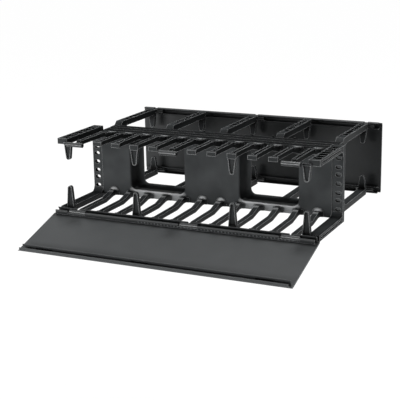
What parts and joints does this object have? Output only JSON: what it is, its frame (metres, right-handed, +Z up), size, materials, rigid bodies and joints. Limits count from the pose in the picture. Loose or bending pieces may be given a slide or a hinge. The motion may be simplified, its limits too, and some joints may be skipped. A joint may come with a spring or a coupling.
{
  "type": "horizontal cable manager",
  "caption": "Rack-mounted horizontal cable manager: slotted base with pass-through windows, front cable fingers, rear cable arms and a hinged cover front and rear.",
  "frame": {"origin": "middle of the rack slots, on the rear face of the mounting flanges, which sits on the rack rails", "axes": "+X to the right seen from the front, +Y to the back of the rack, +Z up"},
  "size_m": [0.49, 0.4643, 0.1676],
  "materials": {
    "base_plastic": "moulded charcoal plastic, satin",
    "finger_plastic": "moulded charcoal plastic, satin",
    "arm_plastic": "moulded charcoal plastic, satin",
    "cover_plastic": "extruded charcoal plastic, smooth satin",
    "clip_plastic": "moulded charcoal plastic, smooth",
    "pin_plastic": "charcoal plastic tube, glossy"
  },
  "bodies": {
    "base": {"arm_bottom_1": "arm_plastic", "arm_bottom_2": "arm_plastic", "arm_bottom_3": "arm_plastic", "arm_bottom_4": "arm_plastic", "arm_bottom_5": "arm_plastic", "arm_top_1": "arm_plastic", "arm_top_2": "arm_plastic", "arm_top_3": "arm_plastic", "arm_top_4": "arm_plastic", "arm_top_5": "arm_plastic", "base_plate": "base_plastic", "finger_bottom_01": "finger_plastic", "finger_bottom_02": "finger_plastic", "finger_bottom_03": "finger_plastic", "finger_bottom_04": "finger_plastic", "finger_bottom_05": "finger_plastic", "finger_bottom_06": "finger_plastic", "finger_bottom_07": "finger_plastic", "finger_bottom_08": "finger_plastic", "finger_bottom_09": "finger_plastic", "finger_bottom_10": "finger_plastic", "finger_bottom_11": "finger_plastic", "finger_bottom_12": "finger_plastic", "finger_bottom_end_left": "finger_plastic", "finger_bottom_end_right": "finger_plastic", "finger_top_01": "finger_plastic", "finger_top_02": "finger_plastic", "finger_top_03": "finger_plastic", "finger_top_04": "finger_plastic", "finger_top_05": "finger_plastic", "finger_top_06": "finger_plastic", "finger_top_07": "finger_plastic", "finger_top_08": "finger_plastic", "finger_top_09": "finger_plastic", "finger_top_10": "finger_plastic", "finger_top_11": "finger_plastic", "finger_top_12": "finger_plastic", "finger_top_end_left": "finger_plastic", "finger_top_end_right": "finger_plastic", "pins_front_bottom": "pin_plastic", "pins_front_top": "pin_plastic", "pins_rear_bottom": "pin_plastic", "pins_rear_top": "pin_plastic"},
    "front_cover": {"clip_front_hinge_1": "clip_plastic", "clip_front_hinge_2": "clip_plastic", "clip_front_hinge_3": "clip_plastic", "clip_front_latch_1": "clip_plastic", "clip_front_latch_2": "clip_plastic", "clip_front_latch_3": "clip_plastic", "cover_front": "cover_plastic"},
    "rear_cover": {"clip_rear_hinge_1": "clip_plastic", "clip_rear_hinge_2": "clip_plastic", "clip_rear_hinge_3": "clip_plastic", "clip_rear_latch_1": "clip_plastic", "clip_rear_latch_2": "clip_plastic", "clip_rear_latch_3": "clip_plastic", "cover_rear": "cover_plastic"}
  },
  "joints": [
    {"name": "front_cover_hinge", "type": "hinge", "parent": "base", "child": "front_cover", "pos_m": [0, -0.138, -0.06005], "axis": [-1, 0, 0], "range_deg": [0, 106.6]},
    {"name": "rear_cover_hinge", "type": "hinge", "parent": "base", "child": "rear_cover", "pos_m": [0, 0.198, 0.06005], "axis": [1, 0, 0], "range_deg": [0, 106.6]}
  ]
}
